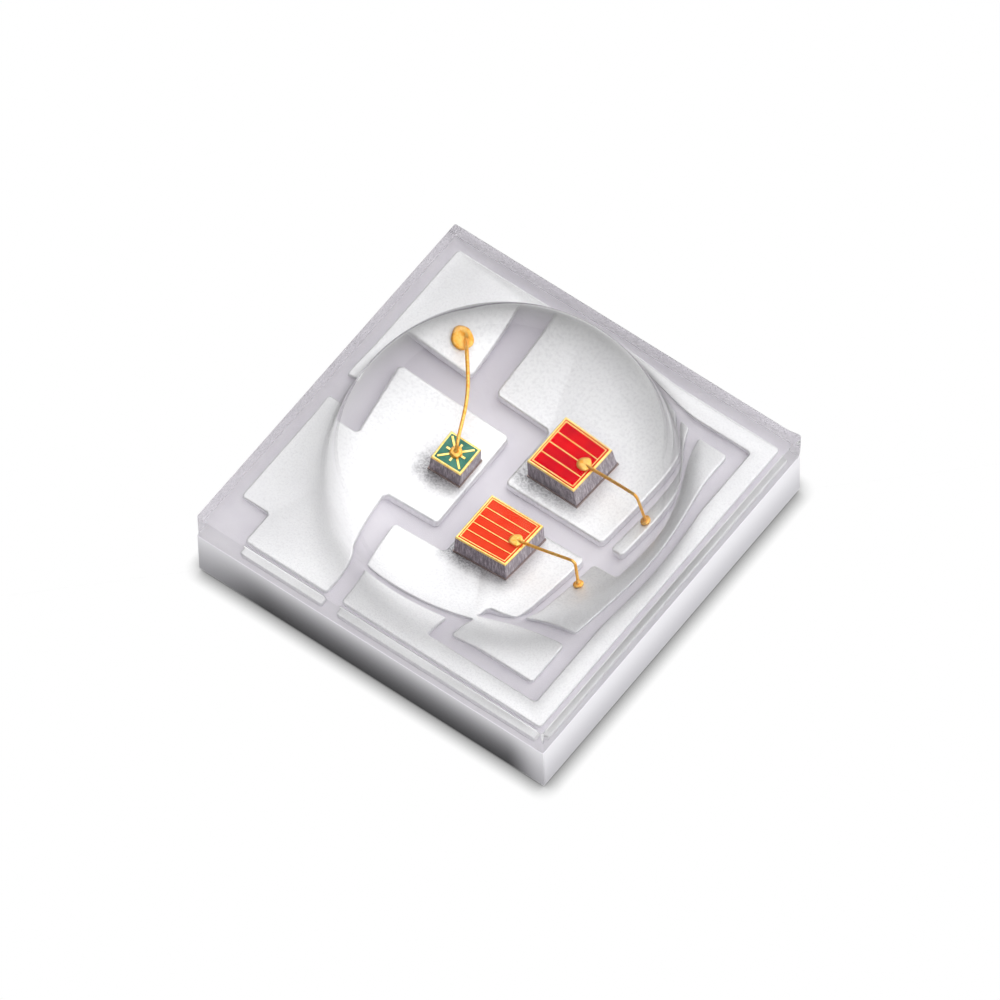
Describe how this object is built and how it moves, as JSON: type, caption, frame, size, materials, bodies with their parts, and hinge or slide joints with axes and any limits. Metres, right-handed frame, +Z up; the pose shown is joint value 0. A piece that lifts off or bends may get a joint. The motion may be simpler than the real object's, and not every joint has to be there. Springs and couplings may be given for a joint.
{
  "type": "smd led",
  "caption": "Square ceramic surface-mount power LED with coloured dies and gold bond wires under a clear domed silicone lens, solder terminals beneath.",
  "frame": {"origin": "middle of the square footprint, on the solder plane", "axes": "+Z up through the dome; +X and -Y are the two sides nearest to the viewer in the picture"},
  "size_m": [0.0034, 0.0034, 0.0022],
  "materials": {
    "white_ceramic": "matte sintered ceramic",
    "clear_silicone": "clear moulded silicone",
    "silver_plate": "matte silver plate on copper",
    "copper_fill": "plated copper",
    "die_bond": "grey bonding layer",
    "die_body": "dark sawn semiconductor",
    "gold": "bare gold",
    "green_emitter": "polished film",
    "red_emitter": "polished film",
    "orange_emitter": "polished film"
  },
  "bodies": {
    "root": {"ceramic_substrate": "white_ceramic", "silicone_lens": "clear_silicone", "thermal_pad": "silver_plate", "green_wire_pad": "silver_plate", "green_wire_terminal": "silver_plate", "green_wire_via": "copper_fill", "red_die_pad": "silver_plate", "red_die_terminal": "silver_plate", "red_die_via": "copper_fill", "red_wire_pad": "silver_plate", "red_wire_terminal": "silver_plate", "red_wire_via": "copper_fill", "green_die_pad": "silver_plate", "green_die_terminal": "silver_plate", "green_die_via": "copper_fill", "orange_die_pad": "silver_plate", "orange_die_terminal": "silver_plate", "orange_die_via": "copper_fill", "orange_wire_pad": "silver_plate", "orange_wire_terminal": "silver_plate", "orange_wire_via": "copper_fill", "green_die_attach": "die_bond", "green_die_body": "die_body", "green_die_edge_metal": "gold", "green_die_emitter": "green_emitter", "green_die_electrode": "gold", "green_bond_wire": "gold", "red_die_attach": "die_bond", "red_die_body": "die_body", "red_die_edge_metal": "gold", "red_die_emitter": "red_emitter", "red_die_electrode": "gold", "red_bond_wire": "gold", "orange_die_attach": "die_bond", "orange_die_body": "die_body", "orange_die_edge_metal": "gold", "orange_die_emitter": "orange_emitter", "orange_die_electrode": "gold", "orange_bond_wire": "gold"}
  },
  "joints": []
}
